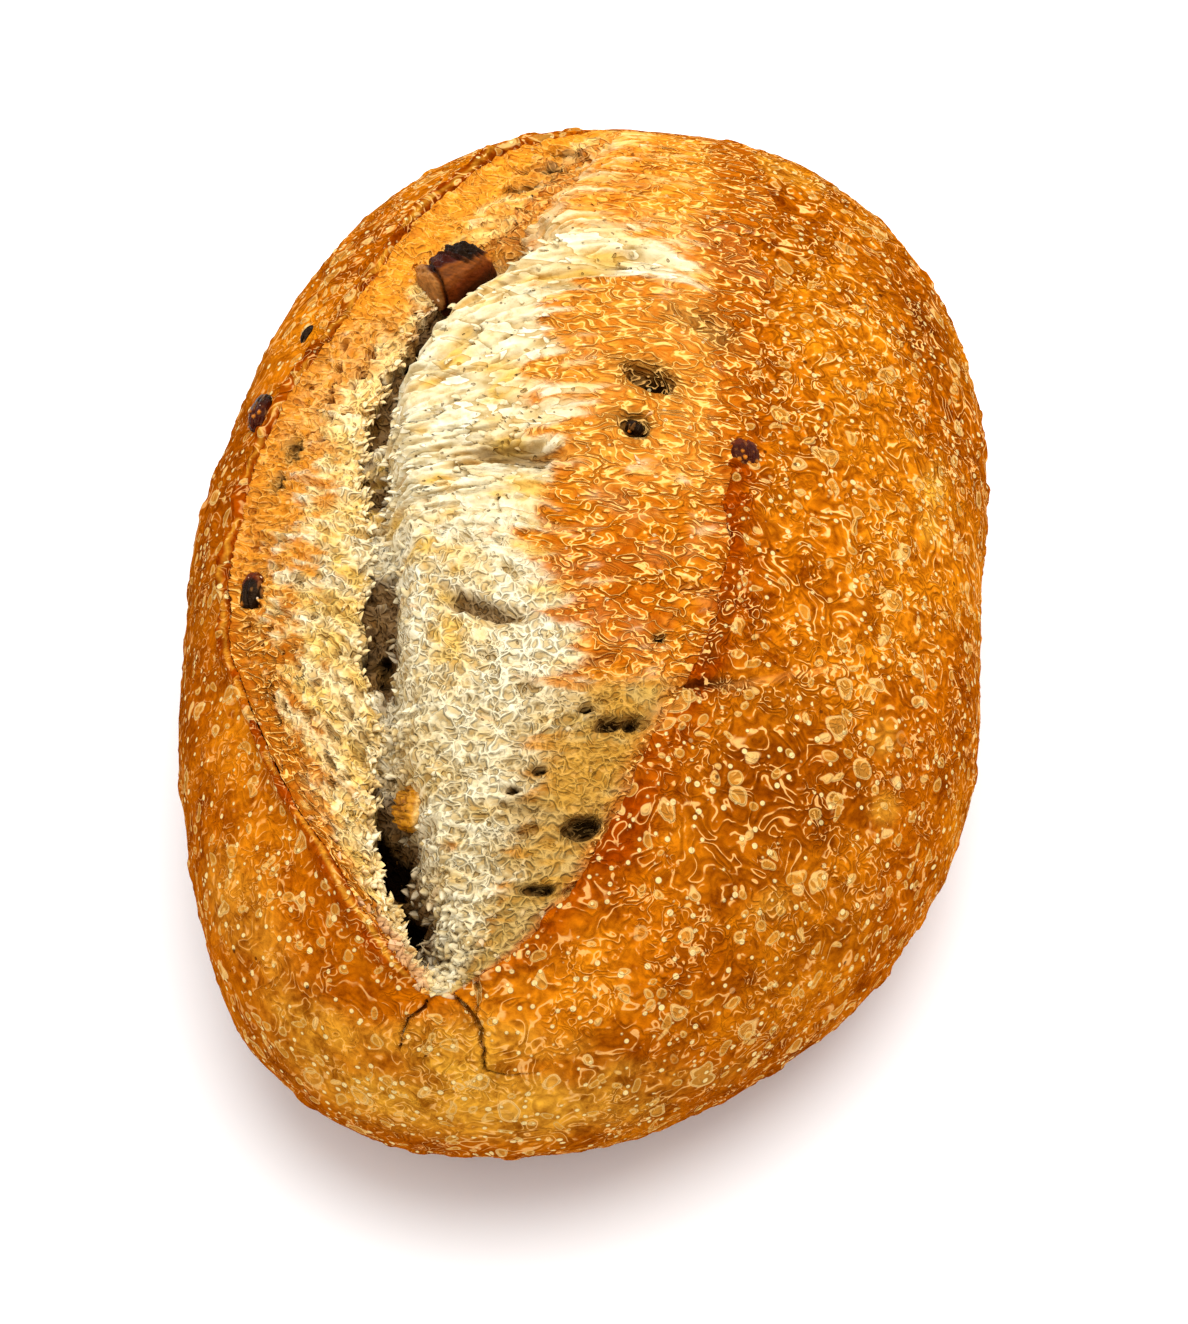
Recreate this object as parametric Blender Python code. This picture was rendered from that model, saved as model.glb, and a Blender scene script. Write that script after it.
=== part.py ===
"""Sourdough loaf: one baked piece with a torn-open ear, and the fruit baked into it.

Metres, +Z up, the loaf resting on z = 0 and centred on the axis; its length runs
along Y with the wide end at +Y, and the torn side faces -X.
"""
import bmesh
import bpy
import numpy as np
from mathutils import Matrix, Vector

MM = 0.001

# ---- driving sizes, in millimetres ----
HALF_WIDTH = 82.5          # plan outline, a rounded oblong
HALF_LENGTH = 123.5
SQUARENESS = 2.33
WAVES = ((1, 0.0, 0.047), (3, 0.0085, -0.009), (4, 0.0045, -0.018), (5, -0.009, -0.007))
HEIGHT = 94.6              # dome before the crumb swells through the slash
BULGE_HEIGHT = 38.0        # where the side stands furthest out
UNDERSIDE = 1.35           # how far the round underside would run below the rest face
FULLNESS = 2.25
BASE_ROUND = 5.0           # blend from the side into the flat base

CROWN_U = 112.0            # crown to waist, measured over the crust across the loaf
CROWN_V = 152.0            # the same along the loaf

# Stations along the slash, all measured over the crust from the crown:
# v, left lip, bottom of the tear, right lip
STATIONS = (
    (-103, -15.0, -8.0, 0.0), (-88, -19.0, -11.0, 3.0), (-78, -24.0, -14.0, 7.0),
    (-64, -39.0, -17.0, 10.0), (-50, -56.0, -18.0, 13.0), (-36, -64.0, -24.0, 18.0),
    (-20, -68.0, -30.0, 20.0), (0, -66.0, -35.0, 21.0), (18, -61.0, -36.0, 17.0),
    (35, -53.0, -29.0, 12.0), (50, -41.0, -18.0, 10.0), (64, -30.0, -13.0, 11.0),
    (80, -22.0, -10.0, 10.0), (103, -16.0, -7.0, 5.0),
)
END_RUN = 26.0             # the slash fades out over this length at either end
LEFT_EAR = 2.6             # raised lips
RIGHT_EAR = 1.4
EAR_RUN = 7.0
LIP_STEP = 2.0             # crumb lies this far under the left lip
STRIP_DROP = 14.0          # from the left lip down to the brink of the tear
TEAR_DEPTH = 23.0
TEAR_HALF = 3.0
WALL_RUN = 5.0
SWELL = 2.4                # crumb standing above the dome
CELLS = 12                 # mesh cells along one side of the starting block
FINER = 2                  # times the torn side is halved again
BLOCK_LENGTH = 2.0         # the block's length over its width
BLOCK_LEAN = 21.0          # degrees it leans so its top covers the slash
# Share of the way over the block's top where each line of the slash is laid:
# left lip, brink, far foot of the tear, top of the crumb wall, right lip
LAY = (0.25, 0.52, 0.58, 0.645, 0.80)
GAP = 0.3                  # air between each fruit piece and its pocket

# name, place on the crown (u, v), middle below the dome, half sizes, turn about the
# crust's own upright, colour
FRUIT = (
    ("fruit_chunk", (-22.5, 48.0), 7.0, (8.2, 5.2, 5.6), 24.0, (0.10, 0.030, 0.012)),
    ("fruit_bit_lip", (-61.0, -29.5), 3.4, (2.5, 5.0, 2.4), 8.0, (0.030, 0.010, 0.006)),
    ("fruit_bit_shoulder", (-67.5, 31.5), 0.4, (2.6, 5.2, 2.2), -14.0, (0.060, 0.025, 0.012)),
    ("fruit_bit_crust", (-55.0, 51.0), 0.8, (2.2, 3.0, 1.8), -30.0, (0.040, 0.018, 0.010)),
    ("fruit_bit_bloom", (4.0, 8.5), -1.0, (2.0, 1.6, 1.8), 0.0, (0.040, 0.020, 0.012)),
    ("fruit_bit_ridge", (22.5, 12.5), 0.2, (3.1, 3.6, 1.9), 20.0, (0.070, 0.025, 0.012)),
    ("peel_bit", (-13.0, -60.5), 9.0, (2.6, 4.6, 3.2), 10.0, (0.60, 0.26, 0.03)),
)


def outline(angle):
    """Plan radius of the loaf at its waist."""
    round_part = (np.abs(np.cos(angle)) / HALF_WIDTH) ** SQUARENESS
    round_part = round_part + (np.abs(np.sin(angle)) / HALF_LENGTH) ** SQUARENESS
    wave = 1.0 + sum(a * np.cos(k * angle) + b * np.sin(k * angle) for k, a, b in WAVES)
    return round_part ** (-1.0 / SQUARENESS) * wave


def plan_middle():
    angle = np.linspace(0.0, 2.0 * np.pi, 3601)
    x, y = outline(angle) * np.cos(angle), outline(angle) * np.sin(angle)
    return (x.max() + x.min()) / 2.0, (y.max() + y.min()) / 2.0


MID_X, MID_Y = plan_middle()


def dome(way):
    """Unit directions to points on the unslashed loaf, in millimetres."""
    angle = np.arctan2(way[:, 1], way[:, 0])
    flat = np.clip(np.hypot(way[:, 0], way[:, 1]), 0.0, 1.0) ** (2.0 / FULLNESS)
    rise = np.sign(way[:, 2]) * np.abs(way[:, 2]) ** (2.0 / FULLNESS)
    over = BULGE_HEIGHT + (HEIGHT - BULGE_HEIGHT) * rise
    under = BULGE_HEIGHT + BULGE_HEIGHT * UNDERSIDE * rise
    z = np.where(rise > 0.0, over, under)
    blend = (z + BASE_ROUND) ** 2 / (4.0 * BASE_ROUND)
    z = np.where(z < -BASE_ROUND, 0.0, np.where(z > BASE_ROUND, z, blend))
    reach = outline(angle) * flat
    return np.stack([reach * np.cos(angle) - MID_X, reach * np.sin(angle) - MID_Y, z], 1)


def to_crown(way):
    """Directions to distances over the crust from the crown."""
    turn = np.arctan2(way[:, 1], way[:, 0])
    lean = np.arccos(np.clip(way[:, 2], -1.0, 1.0)) / (np.pi / 2.0)
    return lean * np.cos(turn) * CROWN_U, lean * np.sin(turn) * CROWN_V


def from_crown(u, v):
    across, along = u / CROWN_U, v / CROWN_V
    lean, turn = np.hypot(across, along) * np.pi / 2.0, np.arctan2(along, across)
    return np.stack([np.sin(lean) * np.cos(turn), np.sin(lean) * np.sin(turn), np.cos(lean)], 1)


def ease(t):
    t = np.clip(t, 0.0, 1.0)
    return t * t * (3.0 - 2.0 * t)


def slash_lines(v):
    table = np.array(STATIONS)
    return [np.interp(v, table[:, 0], table[:, k]) for k in (1, 2, 3)]


def slash_reach(v):
    """1 along the open middle of the slash, 0 where it has closed up."""
    first, last = STATIONS[0][0], STATIONS[-1][0]
    return ease((v - first) / END_RUN) * ease((last - v) / END_RUN)


def relief(u, v):
    """Height above the dome and depth below it, across the slash."""
    left, tear, right = slash_lines(v)
    open_by = slash_reach(v)
    ear_left = LEFT_EAR * np.exp(-((left - u) / EAR_RUN) ** 2)
    ear_right = RIGHT_EAR * np.exp(-((u - right) / EAR_RUN) ** 2)
    run = np.clip((u - left) / np.maximum(tear - TEAR_HALF - left, 1.0), 0.0, 1.0)
    strip = LIP_STEP * ease(run * 8.0) + STRIP_DROP * run ** 1.5
    wall = ease((u - tear - TEAR_HALF) / WALL_RUN)
    across = np.clip((u - tear) / np.maximum(right - tear, 1.0), 0.0, 1.0)
    mound = SWELL * np.sin(np.pi * across ** 0.8) ** 0.8
    up = np.where(u <= left, ear_left, 0.0)
    up = np.where((u > tear) & (u < right), mound * wall, up)
    up = np.where(u >= right, ear_right, up)
    down = np.where((u > left) & (u <= tear), strip, 0.0)
    down = np.where((u > tear) & (u < right), TEAR_DEPTH * (1.0 - wall), down)
    down = np.where(np.abs(u - tear) < TEAR_HALF, TEAR_DEPTH, down)
    return up * open_by, down * open_by


def loaf_surface(way, top):
    """Points of the loaf for a set of directions, slashed where top is set."""
    u, v = to_crown(way)
    points = dome(way)
    step = 0.4
    along_u = dome(from_crown(u + step, v)) - points
    along_v = dome(from_crown(u, v + step)) - points
    normal = np.cross(along_u, along_v)
    normal /= np.maximum(np.linalg.norm(normal, axis=1, keepdims=True), 1e-9)
    up, down = relief(u, v)
    up, down = np.where(top, up, 0.0), np.where(top, down, 0.0)
    points = points + normal * up[:, None]
    points[:, 2] -= down
    return points


def block_way(square):
    """Points of the unit block to directions from the middle of the loaf."""
    spread = np.tan(square * np.pi / 4.0) * np.array([1.0, BLOCK_LENGTH, 1.0])
    spread /= np.linalg.norm(spread, axis=1, keepdims=True)
    lean = np.radians(BLOCK_LEAN)
    x = spread[:, 0] * np.cos(lean) - spread[:, 2] * np.sin(lean)
    z = spread[:, 0] * np.sin(lean) + spread[:, 2] * np.cos(lean)
    return np.stack([x, spread[:, 1], z], 1)


def follow_slash(square):
    """Shift the columns of the block's top so they run along the lips and the tear."""
    way = block_way(square)
    u, v = to_crown(way)
    left, tear, right = slash_lines(v)
    goals = [left, tear - TEAR_HALF, tear + TEAR_HALF, tear + TEAR_HALF + WALL_RUN, right]
    goals[3] = np.minimum(goals[3], right - 1.5)
    knots, targets = [], []
    for share, goal in zip((0.0, *LAY, 1.0), (None, *goals, None)):
        column = square.copy()
        column[:, 0] = 2.0 * share - 1.0
        here = to_crown(block_way(column))[0]
        knots.append(here)
        targets.append(here if goal is None else goal)
    moved = np.array([np.interp(u[i], [k[i] for k in knots], [t[i] for t in targets])
                      for i in range(len(u))])
    return from_crown(moved, v)


def add_object(name, mesh_maker, colour, roughness, home):
    bm = bmesh.new()
    mesh_maker(bm)
    bmesh.ops.recalc_face_normals(bm, faces=bm.faces)
    mesh = bpy.data.meshes.new(name)
    bm.to_mesh(mesh)
    bm.free()
    thing = bpy.data.objects.new(name, mesh)
    home.objects.link(thing)
    material = bpy.data.materials.new(name)
    material.use_nodes = True
    shader = material.node_tree.nodes["Principled BSDF"]
    shader.inputs["Base Color"].default_value = (*colour, 1.0)
    shader.inputs["Roughness"].default_value = roughness
    mesh.materials.append(material)
    return thing


def make_loaf(bm):
    """A block of cells blown out to the dome, with finer cells over the slash."""
    bmesh.ops.create_cube(bm, size=2.0)
    bmesh.ops.subdivide_edges(bm, edges=bm.edges, cuts=CELLS - 1, use_grid_fill=True)
    for _ in range(FINER):
        top = [e for e in bm.edges if min(v.co.z for v in e.verts) > 0.999]
        bmesh.ops.subdivide_edges(bm, edges=top, cuts=1, use_grid_fill=True)
    square = np.array([v.co[:] for v in bm.verts])
    top = square[:, 2] > 0.999
    way = np.where(top[:, None], follow_slash(square), block_way(square))
    for vert, point in zip(bm.verts, loaf_surface(way, top)):
        vert.co = Vector(point) * MM
    bmesh.ops.triangulate(bm, faces=bm.faces)


def make_fruit(bm, half, swell):
    """A puckered lump, longest along its own Y or X."""
    bmesh.ops.create_icosphere(bm, subdivisions=2, radius=1.0)
    for vert in bm.verts:
        n = vert.co.copy()
        pucker = 1.0 + 0.05 * np.sin(5.0 * n.x + 2.0) * np.cos(4.0 * n.y) + 0.04 * np.sin(7.0 * n.z)
        body = Vector([np.sign(c) * abs(c) ** 0.8 * h * pucker for c, h in zip(n, half)])
        vert.co = (body + n * swell) * MM


def crust_frame(place, sink, turn):
    """Where a lump sits: its Z stands out of the crust, turned about that upright."""
    u, v = np.array([place[0]]), np.array([place[1]])
    spot = dome(from_crown(u, v))[0]
    side = Vector(dome(from_crown(u + 1.0, v))[0] - spot).normalized()
    ahead = Vector(dome(from_crown(u, v + 1.0))[0] - spot).normalized()
    out = side.cross(ahead).normalized()
    axes = Matrix((side, out.cross(side), out)).transposed()
    axes = axes @ Matrix.Rotation(np.radians(turn), 3, "Z")
    return Matrix.Translation((Vector(spot) - out * sink) * MM) @ axes.to_4x4()


for old in list(bpy.data.objects):
    bpy.data.objects.remove(old, do_unlink=True)

home = bpy.data.collections.new("sourdough_loaf")
tools = bpy.data.collections.new("cutters")
bpy.context.scene.collection.children.link(home)
bpy.context.scene.collection.children.link(tools)
tools.hide_render = True

loaf = add_object("loaf", make_loaf, (0.56, 0.25, 0.06), 0.5, home)

for name, place, sink, half, turn, colour in FRUIT:
    where = crust_frame(place, sink, turn)
    lump = add_object(name, lambda bm, h=half: make_fruit(bm, h, 0.0), colour, 0.35, home)
    lump.matrix_world = where
    cutter = add_object(name + "_pocket", lambda bm, h=half: make_fruit(bm, h, GAP),
                        (0.5, 0.5, 0.5), 0.5, tools)
    cutter.matrix_world = where
    cutter.display_type = "WIRE"
    cutter.hide_render = True
    pocket = loaf.modifiers.new(name + "_pocket", "BOOLEAN")
    pocket.operation = "DIFFERENCE"
    pocket.solver = "EXACT"
    pocket.object = cutter
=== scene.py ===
import math

import bmesh
import bpy
import numpy as np
from mathutils import Matrix, Vector, noise


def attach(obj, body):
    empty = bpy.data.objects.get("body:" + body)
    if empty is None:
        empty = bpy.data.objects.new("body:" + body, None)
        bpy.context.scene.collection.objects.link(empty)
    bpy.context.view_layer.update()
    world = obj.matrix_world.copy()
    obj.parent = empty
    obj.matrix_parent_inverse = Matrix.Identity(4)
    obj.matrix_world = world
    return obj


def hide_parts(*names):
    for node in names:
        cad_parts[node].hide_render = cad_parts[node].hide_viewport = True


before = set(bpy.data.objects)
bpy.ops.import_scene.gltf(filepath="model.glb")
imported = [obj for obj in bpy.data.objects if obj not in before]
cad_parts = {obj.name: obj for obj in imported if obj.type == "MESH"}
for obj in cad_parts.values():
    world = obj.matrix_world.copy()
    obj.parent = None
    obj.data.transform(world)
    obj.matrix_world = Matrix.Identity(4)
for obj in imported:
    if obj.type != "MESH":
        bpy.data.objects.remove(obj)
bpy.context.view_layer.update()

# ---- The loaf ----
# A hand-shaped sourdough, proved, slashed once and baked in one piece. The oven spring
# tore the slash wide: crust lips at either side, pale crumb swollen up between them,
# and a deep ragged tear down the left where the crumb pulled away.
# Sizes are in millimetres; a wave is its count round the plan and its two shares.
MM = 0.001
HALF_WIDTH, HALF_LENGTH, SQUARENESS = 82.5, 123.5, 2.33
WAVES = ((1, 0.0, 0.047), (3, 0.0085, -0.009), (4, 0.0045, -0.018), (5, -0.009, -0.007))
HEIGHT, BULGE_HEIGHT, UNDERSIDE, FULLNESS, BASE_ROUND = 94.6, 38.0, 1.35, 2.25, 5.0
CROWN_U, CROWN_V = 112.0, 152.0      # crown to waist over the crust, across and along


def outline(angle):
    """Plan radius of the loaf at its waist."""
    round_part = (np.abs(np.cos(angle)) / HALF_WIDTH) ** SQUARENESS
    round_part = round_part + (np.abs(np.sin(angle)) / HALF_LENGTH) ** SQUARENESS
    wave = 1.0 + sum(a * np.cos(k * angle) + b * np.sin(k * angle) for k, a, b in WAVES)
    return round_part ** (-1.0 / SQUARENESS) * wave


turn = np.linspace(0.0, 2.0 * np.pi, 3601)
plan = outline(turn) * np.array([np.cos(turn), np.sin(turn)])
MID_X, MID_Y = (plan.max(1) + plan.min(1)) / 2.0


def dome(way):
    """Unit directions to points on the unslashed loaf, in millimetres."""
    angle = np.arctan2(way[:, 1], way[:, 0])
    flat = np.clip(np.hypot(way[:, 0], way[:, 1]), 0.0, 1.0) ** (2.0 / FULLNESS)
    rise = np.sign(way[:, 2]) * np.abs(way[:, 2]) ** (2.0 / FULLNESS)
    over = BULGE_HEIGHT + (HEIGHT - BULGE_HEIGHT) * rise
    under = BULGE_HEIGHT + BULGE_HEIGHT * UNDERSIDE * rise
    z = np.where(rise > 0.0, over, under)
    blend = (z + BASE_ROUND) ** 2 / (4.0 * BASE_ROUND)
    z = np.where(z < -BASE_ROUND, 0.0, np.where(z > BASE_ROUND, z, blend))
    reach = outline(angle) * flat
    return np.stack([reach * np.cos(angle) - MID_X, reach * np.sin(angle) - MID_Y, z], 1)


def to_crown(way):
    """Directions to distances over the crust from the crown."""
    bearing = np.arctan2(way[:, 1], way[:, 0])
    lean = np.arccos(np.clip(way[:, 2], -1.0, 1.0)) / (np.pi / 2.0)
    return lean * np.cos(bearing) * CROWN_U, lean * np.sin(bearing) * CROWN_V


def from_crown(u, v):
    """Distances over the crust from the crown back to directions."""
    across, along = u / CROWN_U, v / CROWN_V
    lean, bearing = np.hypot(across, along) * np.pi / 2.0, np.arctan2(along, across)
    flat = np.sin(lean)
    return np.stack([flat * np.cos(bearing), flat * np.sin(bearing), np.cos(lean)], 1)


def outward(way, points, nudge=0.4):
    """Upright of the crust at each point, from two points a nudge away."""
    u, v = to_crown(way)
    side = dome(from_crown(u + nudge, v)) - points
    ahead = dome(from_crown(u, v + nudge)) - points
    normal = np.cross(side, ahead)
    return normal / np.maximum(np.linalg.norm(normal, axis=1, keepdims=True), 1e-9)


def ease(t):
    """Smooth step from 0 to 1."""
    t = np.clip(t, 0.0, 1.0)
    return t * t * (3.0 - 2.0 * t)


def lumps(points, size, seed, octaves=1):
    """Smooth noise from about -1 to 1, its features size millimetres across."""
    size = np.broadcast_to(np.asarray(size, float), 3)
    shifted = points / size + seed * np.array([17.3, 5.1, 9.7])
    return np.array([noise.fractal(p, 1.0, 2.0, octaves) for p in shifted.tolist()])


def bubbles(points, size, seed):
    """Distance to the nearest and second nearest bubble centre, and a number for each."""
    size = np.broadcast_to(np.asarray(size, float), 3)
    shifted = points / size + seed * np.array([3.9, 12.7, 8.3])
    near, next_near, who = [], [], []
    for p in shifted.tolist():
        gaps, centres = noise.voronoi(p)
        near.append(gaps[0])
        next_near.append(gaps[1])
        who.append(centres[0].x * 3.17 + centres[0].y * 7.31 + centres[0].z * 5.77)
    return np.array(near), np.array(next_near), np.array(who) % 1.0


# Stations along the slash, over the crust from the crown: where, left lip, tear, right
# lip, half gap of the tear, its depth, fall of the left strip, crumb standing proud
STATIONS = np.array((
    (-103, -9.5, -8.5, -7.5, 0.3, 0, 0, 0), (-97, -11.5, -9.5, -3, 0.8, 3, 1, 0.0),
    (-90, -15, -11.5, 1.5, 1.6, 11, 3, 0.2), (-82, -20, -13.5, 5.5, 2.0, 20, 5, 0.6),
    (-74, -26, -15.0, 8.0, 2.2, 22, 6.5, 1.0), (-64, -39, -16.8, 10.5, 2.8, 21, 8, 1.5),
    (-57, -49, -17.6, 12, 1.8, 15, 8.5, 1.8), (-50, -57, -18.5, 13.5, 0.9, 10, 8.5, 2.0),
    (-44, -60.5, -20.0, 15.5, 1.0, 10, 8.5, 2.1), (-36, -64, -24, 17.6, 2.4, 18, 9, 2.3),
    (-28, -66.5, -27.5, 19.6, 2.4, 17, 9, 2.4), (-18, -68, -30.5, 21, 1.5, 11, 9, 2.5),
    (-8, -67.5, -33, 21.5, 1.2, 10, 9, 2.6), (2, -66, -35, 21.5, 2.2, 14, 9, 2.8),
    (12, -63.5, -36, 19.5, 1.4, 11, 9, 2.8), (20, -61, -35, 17, 1.9, 16, 8.5, 2.8),
    (28, -57.5, -33, 14, 1.6, 14, 8, 2.6), (38, -50, -27, 12.5, 3.0, 18, 7, 2.2),
    (48, -41, -19, 10.5, 3.0, 15, 6, 1.2), (58, -33, -14.5, 10.5, 1.4, 9, 5, 1.4),
    (70, -27, -12, 11, 1.2, 6, 4, 1.2), (84, -19, -9.5, 10.5, 1.3, 5, 3, 0.8),
    (97, -12, -7, 8, 0.8, 2, 1, 0.2), (106, -9, -6, 4, 0.3, 0, 0, 0),
))
FIRST_V, LAST_V = STATIONS[0, 0], STATIONS[-1, 0]
LEFT_LIP, RIGHT_LIP = 1, 3              # their columns
FINE_STATIONS, SMOOTH_OVER = 840, 25    # steps along the slash, steps averaged


def slash_at(v):
    """The slash's lines and depths at stations v, run through smoothly, lips wandering."""
    line = np.linspace(FIRST_V, LAST_V, FINE_STATIONS)
    window = np.hanning(SMOOTH_OVER + 2)[1:-1]
    along = np.stack([line * 0.0, line, line * 0.0], 1)
    found = []
    for k in range(1, STATIONS.shape[1]):
        rough = np.interp(line, STATIONS[:, 0], STATIONS[:, k])
        padded = np.pad(rough, SMOOTH_OVER // 2, "edge")
        smooth = np.convolve(padded, window / window.sum(), "valid")
        if k in (LEFT_LIP, RIGHT_LIP):
            opening = ease((line - FIRST_V) / 12.0) * ease((LAST_V - line) / 12.0)
            wander = 1.4 * lumps(along, 13.0, k, 2) + 0.8 * lumps(along, 3.6, k + 5, 2)
            smooth += wander * opening
        found.append(np.interp(v, line, smooth))
    return found


def slash_profile(u, v, lines, brink, foot):
    """Rise above and fall below the dome across the slash, before any fine texture."""
    left, _tear, right, _half, deep, fall, proud = lines
    opened = ease(deep / 5.0)
    run = np.clip((u - left) / np.maximum(brink - left, 1.0), 0.0, 1.0)
    strip = 0.5 * ease((u - left + 0.6) / 2.0) + fall * run ** 1.3
    wall = ease((u - foot) / 5.5) ** 0.6
    across = np.clip((u - foot) / np.maximum(right - foot, 1.0), 0.0, 1.0)
    down = np.where(u < brink, strip, np.where(u < foot, deep, deep * (1.0 - wall))) * opened
    swell = proud * np.sin(np.pi * np.clip(across * 0.86 + 0.07, 0, 1)) ** 0.7 * wall
    lip_step = np.interp(v, (-100, -80, -40, 0, 20, 60), (0.5, 1.4, 1.8, 1.1, 0.4, 0.2))
    up = np.where(u > foot, swell - lip_step * ease((across - 0.72) / 0.28), 0.0) * opened
    return up, down, run, across, opened


# Rolled-back lips: how high the left one stands, how far back and how broad each is.
LEFT_EAR_HIGH, LEFT_EAR_BACK, LEFT_EAR_BROAD = 2.7, 2.2, 3.2
RIGHT_EAR_BACK, RIGHT_EAR_BROAD = 2.4, 4.2


def right_ear(u, v, right):
    """Height of the right lip, highest beside the middle of the slash."""
    height = np.interp(v, (-100, -80, -40, 0, 25, 50), (0.6, 1.7, 2.5, 1.6, 0.7, 0.5))
    return height * np.exp(-((u - right - RIGHT_EAR_BACK) / RIGHT_EAR_BROAD) ** 2) * (u >= right)


# A block of cells, drawn out lengthwise and leaning so its top lies over the slash.
# The cells are halved where more shows: above the base, over the crust, by the lips.
BODY_CELLS = (28, 52, 24)
BLOCK_LENGTH, BLOCK_LEAN = 2.0, math.radians(21.0)


def block_way(square):
    """Unit directions of the block's corners, its cells spread evenly by angle."""
    spread = np.tan(square * np.pi / 4.0) * np.array([1.0, BLOCK_LENGTH, 1.0])
    spread /= np.linalg.norm(spread, axis=1, keepdims=True)
    x = spread[:, 0] * math.cos(BLOCK_LEAN) - spread[:, 2] * math.sin(BLOCK_LEAN)
    z = spread[:, 0] * math.sin(BLOCK_LEAN) + spread[:, 2] * math.cos(BLOCK_LEAN)
    return np.stack([x, spread[:, 1], z], 1)


def above_base(way):
    return dome(way)[:, 2] > 1.0


def above_side(way):
    u, v = to_crown(way)
    left, _tear, right = slash_at(v)[:3]
    hidden = (u > left + 6.0) & (u < right - 6.0) & (np.abs(v) < 98.0) & (way[:, 2] > 0.0)
    return (dome(way)[:, 2] > 12.0) & ~hidden


def by_lips(way):
    u, v = to_crown(way)
    left, _tear, right = slash_at(v)[:3]
    lips = (np.abs(u - left + 1.5) < 4.0) | (np.abs(u - right - 1.5) < 3.5)
    end_cracks = (np.abs(u + 3.0) < 17.0) & (v < -92.0) & (v > -127.0)
    crease = (np.abs(v + 37.0) < 5.0) & (u > 14.0) & (u < 56.0)
    return ((lips & (v > -106.0) & (v < 106.0)) | end_cracks | crease) & (way[:, 2] > 0.0)


def cell_block(counts):
    """A two-unit cube cut into so many cells along X, Y and Z."""
    block = bmesh.new()
    bmesh.ops.create_cube(block, size=2.0)
    for axis, count in enumerate(counts):
        run = []
        for edge in block.edges:
            span = edge.verts[0].co - edge.verts[1].co
            if abs(span[axis]) > 0.999 * span.length:
                run.append(edge)
        bmesh.ops.subdivide_edges(block, edges=run, cuts=count - 1)
    return block


def halve_edges(block, chosen):
    """Cut in two every edge with both ends chosen."""
    block.verts.index_update()
    fine = [e for e in block.edges if chosen[e.verts[0].index] and chosen[e.verts[1].index]]
    bmesh.ops.subdivide_edges(block, edges=fine, cuts=1, use_grid_fill=True)


def corners(block):
    return np.array([v.co[:] for v in block.verts])


def near_line(u, v, line):
    """Distance over the crust to a bent line, and how far along it."""
    best, along, done = np.full(len(u), 1e9), np.zeros(len(u)), 0.0
    for (u0, v0), (u1, v1) in zip(line[:-1], line[1:]):
        du, dv = u1 - u0, v1 - v0
        length = math.hypot(du, dv)
        t = np.clip(((u - u0) * du + (v - v0) * dv) / length ** 2, 0.0, 1.0)
        gap = np.hypot(u - u0 - t * du, v - v0 - t * dv)
        along = np.where(gap < best, done + t * length, along)
        best, done = np.minimum(gap, best), done + length
    return best, along / done


body = cell_block(BODY_CELLS)
for wanted in (above_base, above_side, by_lips):
    halve_edges(body, wanted(block_way(corners(body))))

way = block_way(corners(body))
points = dome(way)
upright = outward(way, points)
u, v = to_crown(way)
crown = way[:, 2] > 0.0
flat_uv = np.stack([u, v, np.zeros_like(u)], 1)

lines = slash_at(v)
left, tear, right, half_gap, deep = lines[:5]
brink, foot = tear - half_gap - 1.0, tear + half_gap + 1.0
_up, down, _run, _across, opened = slash_profile(u, v, lines, brink, foot)
opened = opened * crown
within = (u > left) & (u < right) & crown
knobs = 1.0 + 0.55 * lumps(flat_uv, (3.2, 4.6, 1.0), 68, 2)
ear_left = LEFT_EAR_HIGH * np.exp(-((left - LEFT_EAR_BACK - u) / LEFT_EAR_BROAD) ** 2) * (u <= left)
ears = (ear_left + right_ear(u, v, right)) * opened * knobs
CRUMB_BED = 8.0                         # how far the body lies below the torn crumb
under = np.minimum((u - left) / 0.7, (right - u) / 0.7).clip(0, 1) * within
sunk = (down + CRUMB_BED * under) * (within & (deep > 0.5))

# The crust is gently uneven, with raised blisters, fine cracks where the slash ends
# and a long crease running off the right lip. Blisters: how far apart, seed, radius and
# soft edge as shares of that, share left bare, height.
BLISTERS = ((7.0, 20, 0.36, 0.14, 0.5, 0.55), (3.6, 24, 0.38, 0.16, 0.45, 0.28))
CRACK_DEEP, CREASE_DEEP, CREASE_RAISED = 1.9, 1.2, 0.5
END_CRACKS = (
    ((-8, -100), (-10, -106), (-12.5, -110), (-14, -119)),
    ((-8, -100), (-5.5, -103.5), (-3, -108), (-2, -113), (-1, -124), (3, -126), (10, -123)),
    ((-3.5, -97), (-2.5, -101), (-3, -108)),
)
CREASE = ((14, -38), (18, -38.5), (26, -38), (36, -35), (50, -31))
blister = np.zeros(len(u))
for apart, seed, radius, soft, bare, high in BLISTERS:
    near, _second, who = bubbles(points, apart, seed)
    blister += high * ease((radius - near) / soft) * (who > bare)
uneven = 1.0 * lumps(points, 34.0, 21, 2) + 0.20 * lumps(points, 6.0, 22, 3)
stands = ease((points[:, 2] - 1.0) / 10.0)
crack = np.zeros(len(u))
for line in END_CRACKS:
    gap, along = near_line(u + 0.5 * lumps(flat_uv, 2.6, 25), v, line)
    crack = np.maximum(crack, ease((0.66 - 0.40 * along - gap) / 0.4) * crown)
gap, along = near_line(u, v + 0.4 * lumps(flat_uv, 5.0, 26), CREASE)
crease = ease((1.5 - gap) / 1.0) * ease((0.5 - along) / 0.2) * crown
raised_crease = ease((1.1 - gap) / 0.9) * ease((along - 0.15) / 0.2)
raised_crease *= ease((1.0 - along) / 0.3) * crown
up = ears + (uneven + blister) * stands
up = up - CRACK_DEEP * crack - CREASE_DEEP * crease + CREASE_RAISED * raised_crease

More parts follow.
